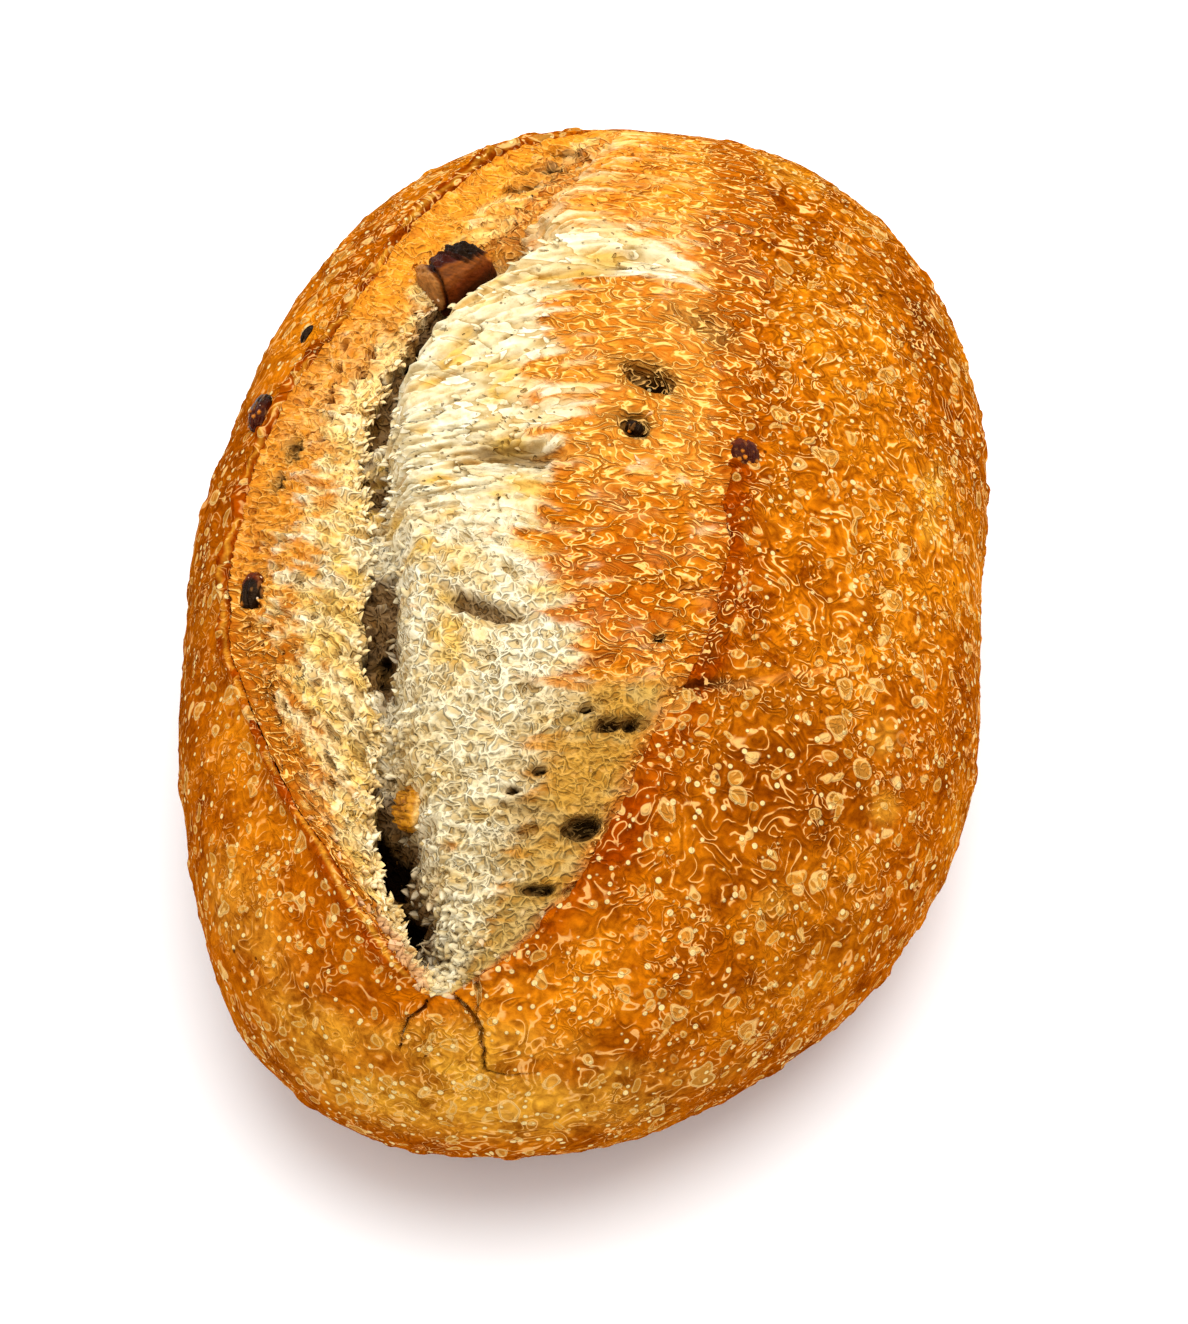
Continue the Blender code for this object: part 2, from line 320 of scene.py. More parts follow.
points = points + upright * np.where(within, uneven * stands, up)[:, None]
points[:, 2] = np.maximum(points[:, 2] - sunk, 0.0)


def put_in_scene(name, data):
    made = bpy.data.objects.new(name, data)
    bpy.context.scene.collection.objects.link(made)
    return made


def finish_mesh(block, name, points):
    """The cells drawn out to their points, in millimetres, as a piece of its own."""
    for vert, point in zip(block.verts, points):
        vert.co = Vector(point) * MM
    bmesh.ops.recalc_face_normals(block, faces=block.faces)
    mesh = bpy.data.meshes.new(name)
    block.to_mesh(mesh)
    block.free()
    mesh.shade_smooth()
    return put_in_scene(name, mesh)


def paint(mesh, name, values):
    layer = mesh.attributes.new(name, "FLOAT", "POINT")
    layer.data.foreach_set("value", np.asarray(values, np.float32))


def paint_colour(mesh, name, colour):
    layer = mesh.attributes.new(name, "FLOAT_COLOR", "POINT")
    full = np.column_stack([np.clip(colour, 0, 1), np.ones(len(colour))])
    layer.data.foreach_set("color", full.astype(np.float32).ravel())


def shade(r, g, b):
    """A colour as the eye reads it, 0 to 255, to linear values."""
    c = np.array([r, g, b]) / 255.0
    return np.where(c <= 0.04045, c / 12.92, ((c + 0.055) / 1.055) ** 2.4)


def ink(r, g, b):
    return (*shade(r, g, b), 1.0)


def mix(base, colour, share):
    share = np.clip(np.asarray(share, float), 0, 1)[:, None]
    return base * (1.0 - share) + colour * share


def coats(tint, *layers):
    """Coats of colour, each laid over the last by its share at every point."""
    for colour, share in layers:
        tint = mix(tint, colour, share)
    return tint


patch_wander = 0.35 * lumps(flat_uv, 11.0, 40, 2)
on_top = ease(way[:, 2] / 0.3 + 0.5)


def patches(*spots_of_it):
    """Soft-edged spots on the crust: how strong, place, half sizes."""
    covers = np.zeros(len(u))
    for strength, u0, v0, ru, rv in spots_of_it:
        edge = np.hypot((u - u0) / ru, (v - v0) / rv)
        covers += strength * ease(1.25 - edge + patch_wander) * on_top
    return covers


# Crust colour: amber where it is thick, gold where it stretched, darkest at the lips.
AMBER, DEEP_AMBER, GOLD = shade(170, 84, 2), shade(130, 56, 0), shade(196, 110, 10)
PALE_GOLD, TOASTED, GROOVE_SHADE = shade(210, 146, 42), shade(144, 54, 0), shade(58, 18, 2)
RAISED_GOLD = shade(222, 138, 56)
low_down = ease(0.9 - (points[:, 2] - 8.0) / 26.0)
toasted = ease(1.25 - (u - right) / 9.0) * (u >= right) * opened
toasted *= np.interp(v, (-100, -88, -70, -45, 8, 22, 60), (0.3, 0.75, 1.0, 1.0, 1.0, 0.35, 0.2))
rolled = ease(1.3 - (left - u) / 6.5) * (u <= left) * opened
pale_rim = ease(1.0 - np.abs(left - u - 1.2) / 0.9) * opened * (lumps(flat_uv, 6.0, 48) > -0.1)
tint = coats(
    np.tile(AMBER, (len(u), 1)),
    (GOLD, 0.36 + 1.3 * lumps(points, 30.0, 41, 3)),
    (DEEP_AMBER, 0.6 * low_down),
    (DEEP_AMBER, 0.6 * ease((-u - 60.0) / 25.0) * (u < left)),
    (DEEP_AMBER, 0.35 * ease((-v - 112.0) / 22.0)),
    (DEEP_AMBER, patches((0.75, 52, 78, 16, 14), (0.8, 38, -58, 28, 24))),
    (DEEP_AMBER, patches((0.5, 50, -98, 26, 14), (0.45, 20, -120, 14, 10), (0.4, 44, -84, 18, 12))),
    (GOLD, patches((0.7, 60, -4, 20, 34), (0.6, 30, 48, 14, 26))),
    (PALE_GOLD, patches((0.75, -4, -118, 14, 12), (0.35, -46, -100, 18, 14),
                        (0.55, -29, -120, 14, 12), (0.45, 14, 94, 12, 10), (0.8, -2, -140, 46, 18))),
    (PALE_GOLD, patches((0.65, 66, 36, 6, 9), (0.6, 68, 20, 5, 8), (0.4, 57, -46, 5, 6),
                        (0.45, 61, -63, 5, 5), (0.4, 39, -85, 5, 5))),
    (TOASTED, toasted * (0.85 + 0.45 * lumps(flat_uv, 5.0, 42, 3))),
    (TOASTED, 0.95 * rolled * (0.85 + 0.5 * lumps(flat_uv, 5.0, 47, 3))),
    (PALE_GOLD, 0.7 * pale_rim),
    # Painted shade in the end cracks, along the crease and in a spot by the crease's start at the
    # right lip.
    (GROOVE_SHADE, patches((0.7, 19.5, -33, 2.2, 3.2)) + 0.6 * crack + 0.9 * crease),
    (RAISED_GOLD, 0.6 * raised_crease),
    (TOASTED, 0.9 * (within & (deep > 0.5))))

body_piece = finish_mesh(body, "loaf_body", points)
mesh = body_piece.data
paint_colour(mesh, "tint", tint)
curly = np.interp(v, (-120, -60, -10, 60), (0.6, 0.7, 0.95, 1.0))
curly *= np.interp(u, (-70, 0, 30, 110), (0.5, 0.9, 1.0, 0.7))
paint(mesh, "curly", curly)


def plug(tree, socket, value):
    """Give a socket a link or a plain value."""
    if isinstance(value, bpy.types.NodeSocket):
        tree.links.new(value, socket)
    else:
        socket.default_value = value


def add(kind, tree, **settings):
    """A node with its settings and sockets given by name, or as i0, i1 by a socket's number."""
    made = tree.nodes.new(kind)
    for key, value in settings.items():
        if hasattr(made, key):
            setattr(made, key, value)
        elif key[1:].isdigit():
            plug(tree, made.inputs[int(key[1:])], value)
        else:
            plug(tree, made.inputs[key.replace("_", " ")], value)
    return made


def brushed(tree, name, kind="Fac"):
    """What was painted on the mesh under a name."""
    return add("ShaderNodeAttribute", tree, attribute_name=name).outputs[kind]


def new_look(name):
    """A material, its nodes, the place on the piece and the painted tint."""
    look = bpy.data.materials.new(name)
    look.use_nodes = True
    tree = look.node_tree
    place = add("ShaderNodeTexCoord", tree).outputs["Object"]
    return look, tree, place, brushed(tree, "tint", "Color")


def sums(tree, how, a, b=0.5, c=0.5, clamp=False):
    return add("ShaderNodeMath", tree, operation=how, use_clamp=clamp, i0=a, i1=b, i2=c).outputs[0]


def times(tree, a, b):
    return sums(tree, "MULTIPLY", a, b)


def heaped(tree, *shares):
    """Values added up, each by its weight."""
    total = 0.0
    for value, weight in shares:
        total = sums(tree, "MULTIPLY_ADD", value, weight, total)
    return total


def band(tree, value, low, high, low_out=0.0, high_out=1.0):
    """Smooth step of a value between two marks."""
    step = add("ShaderNodeMapRange", tree, interpolation_type="SMOOTHSTEP", i0=value,
               i1=low, i2=high, i3=low_out, i4=high_out)
    return step.outputs[0]


def blend(tree, share, a, b, how="MIX"):
    made = add("ShaderNodeMix", tree, data_type="RGBA", blend_type=how, clamp_factor=True)
    for index, value in ((0, share), (6, a), (7, b)):
        plug(tree, made.inputs[index], value)
    return made.outputs[2]


def dabbed(tree, colour, *dabs):
    """Flat colours laid over a colour: where, how strongly, which."""
    for cover, strength, rgb in dabs:
        colour = blend(tree, times(tree, cover, strength), colour, ink(*rgb))
    return colour


def toned(tree, colour, value, *stops):
    """The colour multiplied through a ramp of tones over a value."""
    ramp_node = add("ShaderNodeValToRGB", tree, i0=value)
    ramp = ramp_node.color_ramp
    for element, (position, rgb) in zip(ramp.elements, (stops[0], stops[-1])):
        element.position, element.color = position, (*rgb, 1)
    for position, rgb in stops[1:-1]:
        ramp.elements.new(position).color = (*rgb, 1)
    return blend(tree, 1.0, colour, ramp_node.outputs["Color"], "MULTIPLY")


def grain(tree, where, scale, detail=2.0, roughness=0.55, distortion=0.0):
    return add("ShaderNodeTexNoise", tree, Vector=where, Scale=scale, Detail=detail,
               Roughness=roughness, Distortion=distortion).outputs["Fac"]


def bent_place(tree, where, scale, amount):
    """The place moved about a little, so round cells come out uneven."""
    swirl = add("ShaderNodeTexNoise", tree, Vector=where, Scale=scale, Detail=1.0).outputs["Color"]
    bent = add("ShaderNodeMix", tree, data_type="VECTOR", i0=amount, i4=where, i5=swirl)
    return bent.outputs[1]


def spots(tree, where, scale, radius, soft, share):
    """Round spots of mixed sizes: how much each covers, its distance from the middle
    with its own size taken off, and whether it is there at all."""
    cells = add("ShaderNodeTexVoronoi", tree, Vector=where, Scale=scale)
    pick = add("ShaderNodeSeparateColor", tree, Color=cells.outputs["Color"])
    picked = band(tree, pick.outputs["Red"], 1.0 - share, 1.0 - share + 0.03)
    smaller_by = radius * 0.55
    gap = sums(tree, "MULTIPLY_ADD", pick.outputs["Green"], smaller_by, cells.outputs["Distance"])
    return times(tree, band(tree, gap, radius + soft, radius), picked), gap, picked


def ring(tree, gap, picked, radius, wide):
    """A thin pale ring round each spot."""
    away = sums(tree, "ABSOLUTE", sums(tree, "SUBTRACT", gap, radius))
    return times(tree, band(tree, away, wide, 0.02), picked)


def ripple(tree, where, scale, turns):
    """Ridges that wander like contour lines, 0 in the valleys to 1 along the tops."""
    field = grain(tree, where, scale, 1.5, 0.5, 0.9)
    return times(tree, sums(tree, "PINGPONG", times(tree, field, turns), 0.5), 2.0)


def finish_look(tree, colour, height, strength, depth, roughness, specular):
    """Colour, relief so many metres deep, and gloss, into the shader."""
    relief = add("ShaderNodeBump", tree, Strength=strength, Distance=depth, Height=height)
    shader = tree.nodes["Principled BSDF"]
    plug(tree, shader.inputs["Base Color"], colour)
    plug(tree, shader.inputs["Normal"], relief.outputs["Normal"])
    plug(tree, shader.inputs["Roughness"], roughness)
    plug(tree, shader.inputs["Specular IOR Level"], specular)
    return shader


# Mottled all over, with a froth of curled ridges, painted shade in their valleys and painted light
# along their tops, and blisters of three sizes, the larger two ringed and the smallest pale dots
# doubling as painted glints; scales are cells to the metre.
crust, tree, place, painted = new_look("crust")
mesh.materials.append(crust)
curly_part = brushed(tree, "curly")
cloudy = grain(tree, place, 130.0, 4.0, 0.62)
fleck = grain(tree, place, 640.0, 3.0, 0.6)
colour = toned(tree, painted, heaped(tree, (cloudy, 0.6), (fleck, 0.4)),
               (0.36, (0.50, 0.36, 0.18)), (0.5, (0.95, 0.95, 0.95)), (0.66, (1.32, 1.46, 1.6)))

broad_ripple, fine_ripple = ripple(tree, place, 150.0, 6.0), ripple(tree, place, 320.0, 5.0)
pick = band(tree, grain(tree, place, 70.0), 0.42, 0.58)
tone = add("ShaderNodeMix", tree, i0=pick, i2=broad_ripple, i3=fine_ripple).outputs[0]
# The ripple tone paints shade in the valleys and light along the tops of the ridges.
rippled = toned(tree, colour, tone, (0.0, (0.50, 0.38, 0.20)), (0.4, (0.92, 0.90, 0.86)),
                (0.72, (1.18, 1.2, 1.22)))
colour = blend(tree, curly_part, colour, rippled)
strokes = band(tree, grain(tree, place, 230.0), 0.42, 0.52)
curl = times(tree, times(tree, band(tree, tone, 0.74, 0.90), curly_part), strokes)

bent = bent_place(tree, place, 150.0, 0.006)
big, big_gap, big_pick = spots(tree, bent, 135.0, 0.30, 0.05, 0.40)
small, small_gap, small_pick = spots(tree, bent, 260.0, 0.32, 0.06, 0.52)
# The smallest pale dots are pale specks of the crust and painted glints at once.
dot, _gap, _pick = spots(tree, place, 430.0, 0.25, 0.08, 0.6)
speck, _gap, _pick = spots(tree, place, 170.0, 0.07, 0.04, 0.4)
colour = dabbed(
    tree, colour, (curl, 0.95, (244, 188, 110)),
    (big, 0.38, (206, 150, 60)), (small, 0.40, (204, 146, 54)),
    (ring(tree, big_gap, big_pick, 0.33, 0.055), 0.75, (232, 184, 108)),
    (ring(tree, small_gap, small_pick, 0.35, 0.07), 0.65, (230, 182, 102)),
    (dot, 0.85, (234, 204, 136)), (speck, 0.8, (70, 26, 6)))

lift = heaped(tree, (times(tree, band(tree, tone, 0.0, 1.0), curly_part), 1.0),
              (dot, 0.5), (big, 0.7), (small, 0.5), (fleck, 0.7))
finish_look(tree, colour, lift, 0.8, 0.0007, 0.34, 0.0)

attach(body_piece, "root")
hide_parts("loaf")

# ---- The torn crumb ----
# The pale inside of the loaf, laid bare where the slash burst: a strip under the left
# lip, the ragged tear, and the crumb that swelled up and browned towards the right lip.
CRUMB_CELLS, CRUMB_THICK, UNDER_LIP = (24, 56, 2), 7.0, 1.3
crumb = cell_block(CRUMB_CELLS)
for _ in range(3):
    halve_edges(crumb, corners(crumb)[:, 2] > 0.999)
square = corners(crumb)
under_side = (1.0 - square[:, 2]) / 2.0
v = (square[:, 1] + 1.0) / 2.0 * (LAST_V - FIRST_V - 2.0) + FIRST_V + 1.0
row = np.stack([v * 0.0, v, v * 0.0], 1)
lines = slash_at(v)
left, tear, right, half_gap, deep, fall, proud = lines
teeth = (1.3 * lumps(row, 6.0, 50, 2) + 1.2 * lumps(row, 1.7, 51, 2)) * ease(deep / 6.0)
far_teeth = (1.0 * lumps(row, 5.0, 52, 2) + 0.9 * lumps(row, 1.9, 53, 2)) * ease(deep / 6.0)
half_gap = half_gap * np.interp(v, (-70, -60), (0.8, 1.0))
half_gap = half_gap + 1.1 * ease((v + 48.0) / 6.0) * ease((36.0 - v) / 6.0)
brink = np.minimum(tear - half_gap + teeth, tear + 1.5)
foot = np.maximum(tear + half_gap + far_teeth, brink + 0.5)
foot = foot + 5.2 * ease(1.25 - np.abs(v - 44.0) / 11.0)

# Cells are shared out across the slash: strip, brink and floor of the tear, its far bank,
# and the swollen crumb up to where it laps over the right lip.
share = (square[:, 0] + 1.0) / 2.0
marks = (0.0, 0.36, 0.375, 0.43, 0.49, 1.0)
lapped = ease((v - 2.0) / 18.0)
edge_right = right + 1.5 + (4.0 + 2.5 * lumps(row, 4.0, 67, 3)) * lapped
stops = (left - UNDER_LIP, brink, brink + 0.12 * (foot - brink), foot,
         foot + 0.18 * (right - foot), edge_right)
u = np.zeros_like(v)
for (m0, m1), (s0, s1) in zip(zip(marks[:-1], marks[1:]), zip(stops[:-1], stops[1:])):
    inside = (share >= m0) & (share <= m1)
    u = np.where(inside, s0 + (s1 - s0) * (share - m0) / (m1 - m0), u)
way = from_crown(u, v)
points = dome(way)
upright = outward(way, points)
flat_uv = np.stack([u, v, np.zeros_like(u)], 1)
up, down, run, across, opened = slash_profile(u, v, lines, brink + 0.05, foot)
lap = lapped * ease((u - right + 5.0) / 5.0)
up = up * (1.0 - lap) + lap * (right_ear(np.maximum(u, right), v, right) * opened + 0.5)

# Bridges of crumb fill much of the tear; it stays open in a few pockets: where, how long.
POCKETS = ((-64, 7), (-79, 5), (-34, 6), (-22, 3), (1, 4), (20, 5), (38, 4))
pockets = 0.25 + 0.5 * lumps(flat_uv, (40.0, 5.0, 1.0), 69, 2)
for v0, length in POCKETS:
    pockets = np.maximum(pockets, ease(1.4 - np.abs(v - v0) / length))
filled = np.clip(0.25 + 0.75 * pockets, 0.25, 1.0)
in_tear = (u > brink) & (u < foot + 0.25 * (right - foot))
shallow = np.minimum(down, fall + 1.0)
down = np.where(in_tear, shallow + (down - shallow) * filled, down)
rubble = 1.6 * lumps(flat_uv, (2.6, 3.4, 1.0), 71, 3) * ease((down - fall) / 3.0)
down += np.where(in_tear, rubble, 0.0)
in_strip, in_mound = u <= brink, u >= foot
in_gap = ~in_strip & ~in_mound
uneven = 1.0 * lumps(points, 34.0, 21, 2) * ease((points[:, 2] - 1.0) / 10.0)

# Stretched strands and overhanging ledges on the upper half, webs and pores elsewhere.
drift = flat_uv + 1.2 * np.stack([lumps(flat_uv, 5.0, 54, 2), lumps(flat_uv, 5.0, 55, 2), u * 0], 1)
near, second, who = bubbles(drift, (2.9, 2.5, 1.0), 56)
web = ease(1.0 - (second - near) / 0.34)
fine_near, fine_second, _who = bubbles(drift, (1.6, 1.4, 1.0), 57)
fine_web = ease(1.0 - (fine_second - fine_near) / 0.4)
hole_near, _second, hole_who = bubbles(drift, (6.0, 5.0, 1.0), 58)
random_holes = ease((0.34 - hole_near) / 0.16) * (hole_who > 0.70)
slant = v - 0.30 * (u + 20.0)
ledge_line = slant / 3.8 + 1.1 * lumps(flat_uv, (15.0, 8.0, 1.0), 59, 2)
ledge_line += 0.30 * lumps(flat_uv, (3.4, 2.0, 1.0), 60, 2)
ledge = 1.0 - (ledge_line - np.floor(ledge_line))
strands = lumps(np.stack([drift[:, 0], slant, u * 0], 1), (12.0, 1.05, 1.0), 61, 2)
upper = ease((v + 26.0) / 24.0) * in_mound
cream_edge = 0.48 + 0.13 * lumps(flat_uv, (12.0, 3.0, 1.0), 44, 3)
cream_edge += 0.3 * ease(1.25 - np.abs(v - 41.0) / 6.0)
cream_side = 1.0 - ease((across - cream_edge) / np.interp(v, (-40, -10), (0.3, 0.12)))
softness = np.where(in_mound, 0.5 + 0.5 * cream_side, ease(run * 2.0) * 0.7 + 0.3)
ragged = np.exp(-np.abs(u - brink) / 3.0) + np.exp(-np.abs(u - foot) / 4.5)
fingers = lumps(np.stack([drift[:, 0], v + 0.25 * u, u * 0], 1), (9.0, 1.6, 1.0), 77, 2)
drawn = in_strip * ease((v + 50.0) / 14.0)

# Its relief: webs, fingers drawn out on the strip, lapping ledges, an open net beside the
# tear, ragged banks and scattered pores.
texture = (1.1 * web - 0.55) * softness * (1.0 - 0.9 * upper - 0.65 * drawn)
texture += (0.5 * fine_web - 0.22) * softness * (1.0 - 0.6 * upper - 0.6 * drawn)
texture += 1.4 * drawn * fingers
edge_of_ledge = ease((0.25 - ledge) / 0.2)
terrace = 2.0 * (1.0 - ledge) ** 0.6 * ease(ledge / 0.10) - 1.0 + 1.2 * strands
texture += upper * terrace * (0.30 + 0.70 * cream_side)
net_upper = in_strip * ease((v - 10.0) / 12.0) * ease((48.0 - v) / 8.0) * ease(run / 0.15)
net_lower = in_strip * ease((v + 68.0) / 8.0) * ease((-24.0 - v) / 8.0) * ease(run / 0.3)
net_hole = ease((0.44 - near) / 0.16) * (who > 0.5) * np.maximum(net_upper, net_lower)
texture -= 1.3 * net_hole
texture += 0.8 * ragged * lumps(flat_uv, 1.5, 62, 2) + 0.14 * lumps(flat_uv, 0.9, 63)
texture -= 2.1 * random_holes * np.where(upper > 0.5, 0.3, 1.0)

# Gas holes: place over the crust, half sizes, depth. Each gets painted shade round and in its
# hollow, and the deepest get black painted shade inside, set towards their far right side.
DEEP_HOLE = 2.3
HOLES = (
    (4.6, 17.0, 2.7, 2.1, 5.5), (4.0, 8.5, 2.1, 1.8, 2.5), (-9.0, 2.5, 7.0, 2.4, 1.6),
    (-8.0, -25.0, 4.5, 1.5, 2.2), (7.0, -64.0, 2.3, 2.5, 4.6), (7.8, -44.5, 1.6, 1.4, 3.6),
    (5.0, -41.5, 0.9, 0.8, 2.8), (1.0, -53.0, 0.9, 0.8, 2.4), (-1.5, -57.0, 0.8, 0.8, 2.4),
    (12.5, -29.0, 0.8, 0.8, 2.6), (10.6, -44.0, 1.4, 1.2, 3.0), (3.0, -77.0, 2.2, 1.3, 2.4),
    (0.0, -60.0, 2.6, 2.0, 1.2), (-55.9, 14.6, 2.0, 3.0, 5.0), (10.0, 31.0, 4.0, 2.6, 1.4),
    (-12.0, 87.0, 2.2, 1.6, 3.0), (-13.5, 79.0, 2.4, 1.6, 3.0), (-16.0, 71.0, 2.0, 1.6, 2.6),
    (-59.0, 4.0, 1.5, 2.6, 4.0),
)
hollow, hole_shade_halo, hole_black_shade = np.zeros(len(u)), np.zeros(len(u)), np.zeros(len(u))
wobble = 0.25 * lumps(flat_uv, 1.8, 64)
for u0, v0, ru, rv, depth in HOLES:
    edge = np.hypot((u - u0) / ru, (v - v0) / rv) + wobble
    hollow = np.maximum(hollow, depth * ease((1.15 - edge) / 0.45))
    hole_shade_halo = np.maximum(hole_shade_halo, min(depth / 3.0, 1.0) * ease((2.0 - edge) / 1.1))
    edge = np.hypot((u - u0 - 0.2 * ru) / ru, (v - v0 - 0.25 * rv) / rv) + 1.6 * wobble
    hole_black_shade = np.maximum(hole_black_shade, (depth > DEEP_HOLE) * ease((0.95 - edge) / 0.6))

# A step across the swollen crumb beside the fruit, then the edges: dipped out of sight
# under the crust, and rising to meet the lips.
STEP_AT, STEP_HIGH = 42.0, 1.1
step_line = v - STEP_AT + 1.5 * lumps(flat_uv, (14.0, 5.0, 1.0), 65, 2)
step = STEP_HIGH * ease(step_line / 0.9) * (1.0 - ease((v - 50.0) / 14.0))
step *= in_mound * ease((u + 17.0) / 3.0)
texture = (texture + step) * opened - hollow
texture *= np.clip(np.minimum((u - left + UNDER_LIP) / 2.0, (edge_right - u) / 2.5), 0, 1)
edge_dip = 1.6 * (ease((left - u - 0.5) / 0.8) + ease((u - edge_right + 1.2) / 1.2))
meet_left = 1.5 * np.exp(-np.maximum(u - left, 0.0) / 2.2) * (1.0 - ease((left - u) / 1.5))
meet_right = 0.55 * right_ear(right, v, right) * np.exp(-np.maximum(right - u, 0.0) / 2.5)
meet = (in_strip * meet_left + in_mound * meet_right * (1.0 - lap)) * opened
points = points + upright * (up + uneven + meet + texture * (1 - under_side) - edge_dip)[:, None]
points[:, 2] -= down + CRUMB_THICK * under_side
points[:, 0] += 0.8 * ragged * lumps(flat_uv, 1.4, 66, 2) * (1 - under_side) * opened
overhang = upper * (0.30 + 0.70 * cream_side) * (terrace + 0.4) * (1 - under_side) * opened
points[:, 0] -= 0.35 * overhang
points[:, 1] -= 0.75 * overhang

# Crumb colour: cream by the tear, straw, baked gold by the lips, painted shade down in the tear,
# black painted shade at its deepest.
# Gold lies in patches on the mound and the strip, and all over at the far end.
CREAM, STRAW, BAKED = shade(220, 206, 168), shade(214, 172, 84), shade(204, 118, 16)
GREYED, SHADED, BLACK_SHADE = shade(196, 176, 130), 0.7 * shade(122, 86, 42), shade(18, 8, 2)
ORANGE, OLIVE, LAP_GOLD = shade(176, 84, 2), shade(172, 132, 52), shade(186, 98, 6)
baked = np.interp(v, (-95, -60, -38, -15, 35, 42, 60, 90), (0.2, 0.5, 0.9, 1, 1, 0.55, 0.8, 0.9))
baked *= 1.0 - cream_side
far_edge = 0.12 + 0.2 * lumps(flat_uv, (14.0, 3.0, 1.0), 49, 2)
far_gold = 0.30 + 0.6 * ease((across - far_edge) / 0.4)
baked = np.maximum(baked, ease((v - 46.0) / 8.0) * far_gold)
baked = np.clip(baked + 0.55 * lumps(flat_uv, 6.0, 45, 2) * (baked > 0.1), 0, 1)
by_right_lip = ease((across - 0.70 + 0.16 * lumps(flat_uv, (10.0, 2.5, 1.0), 76, 3)) / 0.25)
baked = in_mound * np.maximum(baked, 0.85 * by_right_lip * ease((v + 32.0) / 12.0))

strip_bonus = np.interp(v, (-70, -55, -38, -12, 0, 20), (0.25, 0.25, 0.0, 0.1, 0.35, 0.4))
near_tear = ease((run - 0.4 - 0.25 * lumps(flat_uv, (8.0, 5.0, 1.0), 74, 2)) / 0.3)
far_strip = 0.95 - np.interp(v, (46, 54), (0.65, 0.4)) * near_tear
strip_gold = np.clip(1.25 + strip_bonus - run * 1.9 + 0.8 * lumps(flat_uv, 6.0, 46, 3), 0, 1)
for golden in (ease((v - 18.0) / 22.0) * far_strip, 0.85 * ease((0.3 - run) / 0.15)):
    strip_gold = np.maximum(strip_gold, golden)
gold = np.clip(baked + in_strip * strip_gold, 0, 1)
patchy = ease((gold - 0.5 + 0.55 * lumps(flat_uv, (4.2, 1.6, 1.0), 75, 3)) / 0.4 + 0.5)
gold = np.where(in_gap, 0.8 * ease((v - 48.0) / 6.0), 0.35 * gold + 0.65 * patchy)

webby = in_mound * ease((-v - 33.0 + 3.0 * lumps(flat_uv, 6.0, 78, 2)) / 7.0)
deep_orange = ease(1.3 - np.hypot((u - 6.0) / 10.0, (v + 20.0) / 15.0))
lip_orange = in_strip * ease(0.22 - run) * 2.0 + in_mound * ease((across - 0.9) / 0.1) * 0.6
tear_depth = np.where(in_gap | in_mound, down - fall, 0.0)
gap_shade = np.tile(shade(112, 76, 32), (len(u), 1))
gap_shade = coats(gap_shade, (shade(150, 92, 20), ease((v - 46.0) / 8.0)))
in_shade = ease((tear_depth - 0.6) / 3.4) * np.interp(v, (44, 54), (0.92, 0.5))
deep_tear_shade = ease((tear_depth - 7.8 + 2.5 * lumps(flat_uv, 2.2, 72, 2)) / 3.0)
tint = coats(
    np.tile(CREAM, (len(u), 1)),
    (STRAW, 0.16 + 1.4 * lumps(flat_uv, (8.0, 5.0, 1.0), 43, 3) + 0.42 * in_strip),
    (GREYED, 0.55 * in_mound * ease((-v - 25.0) / 25.0)),
    (BAKED, gold),
    (shade(222, 152, 52), 0.5 * in_strip * gold),
    (shade(232, 152, 52), 0.65 * in_mound * gold * ease((v + 6.0) / 10.0)),
    (shade(172, 92, 4), 0.6 * in_strip * gold * ease((-34.0 - v) / 10.0)),
    (shade(236, 176, 100), 0.55 * net_upper * web),
    (shade(232, 180, 80), 0.8 * (1.0 - gold) * ease((v - 44.0) / 8.0)),
    (shade(236, 152, 40), 0.8 * gold * ease((v - 40.0) / 10.0)),
    (shade(184, 92, 4), 0.7 * gold * in_mound * deep_orange),
    (OLIVE, 0.8 * webby * ease((across - 0.42) / 0.3)),
    (shade(232, 192, 108), 0.5 * in_strip * (1.0 - gold) * ease((-v - 20.0) / 10.0)),
    (ORANGE, lip_orange),
    (LAP_GOLD, 0.9 * ease(1.2 * lap)),
    # Painted shade in the low parts of the crumb's relief.
    (STRAW * 0.62, 0.40 * ease(-texture / 0.8) * (1.0 - 0.5 * gold) * opened),
    (shade(240, 202, 122), 0.6 * in_strip * near_tear * ease((v + 20.0) / 14.0) * (1.0 - gold)),
    # Painted shade inside the holes of the open net.
    (shade(116, 54, 10), 0.8 * net_hole * (v > 0.0)),
    (shade(138, 98, 40), 0.6 * net_hole * ease((-24.0 - v) / 8.0)),
    # Painted light on the high parts of the crumb's relief.
    (CREAM * 1.12, 0.5 * ease((texture - 0.35) / 0.5) * (1.0 - gold) * opened),
    # Painted shade down the tear, black painted shade where it is deepest.
    (gap_shade, in_shade),
    (BLACK_SHADE, deep_tear_shade),
    # Painted shade round and inside the gas holes, black painted shade deep in the deepest.
    (shade(142, 104, 46), 0.6 * hole_shade_halo * (v < 60.0)),
    (shade(156, 84, 12), 0.7 * hole_shade_halo * (v >= 60.0)),
    (SHADED, 0.8 * ease((hollow - 0.7) / 1.4)),
    (BLACK_SHADE, 0.94 * hole_black_shade))

crumb_piece = finish_mesh(crumb, "torn_crumb", points)
mesh = crumb_piece.data
paint_colour(mesh, "tint", tint)
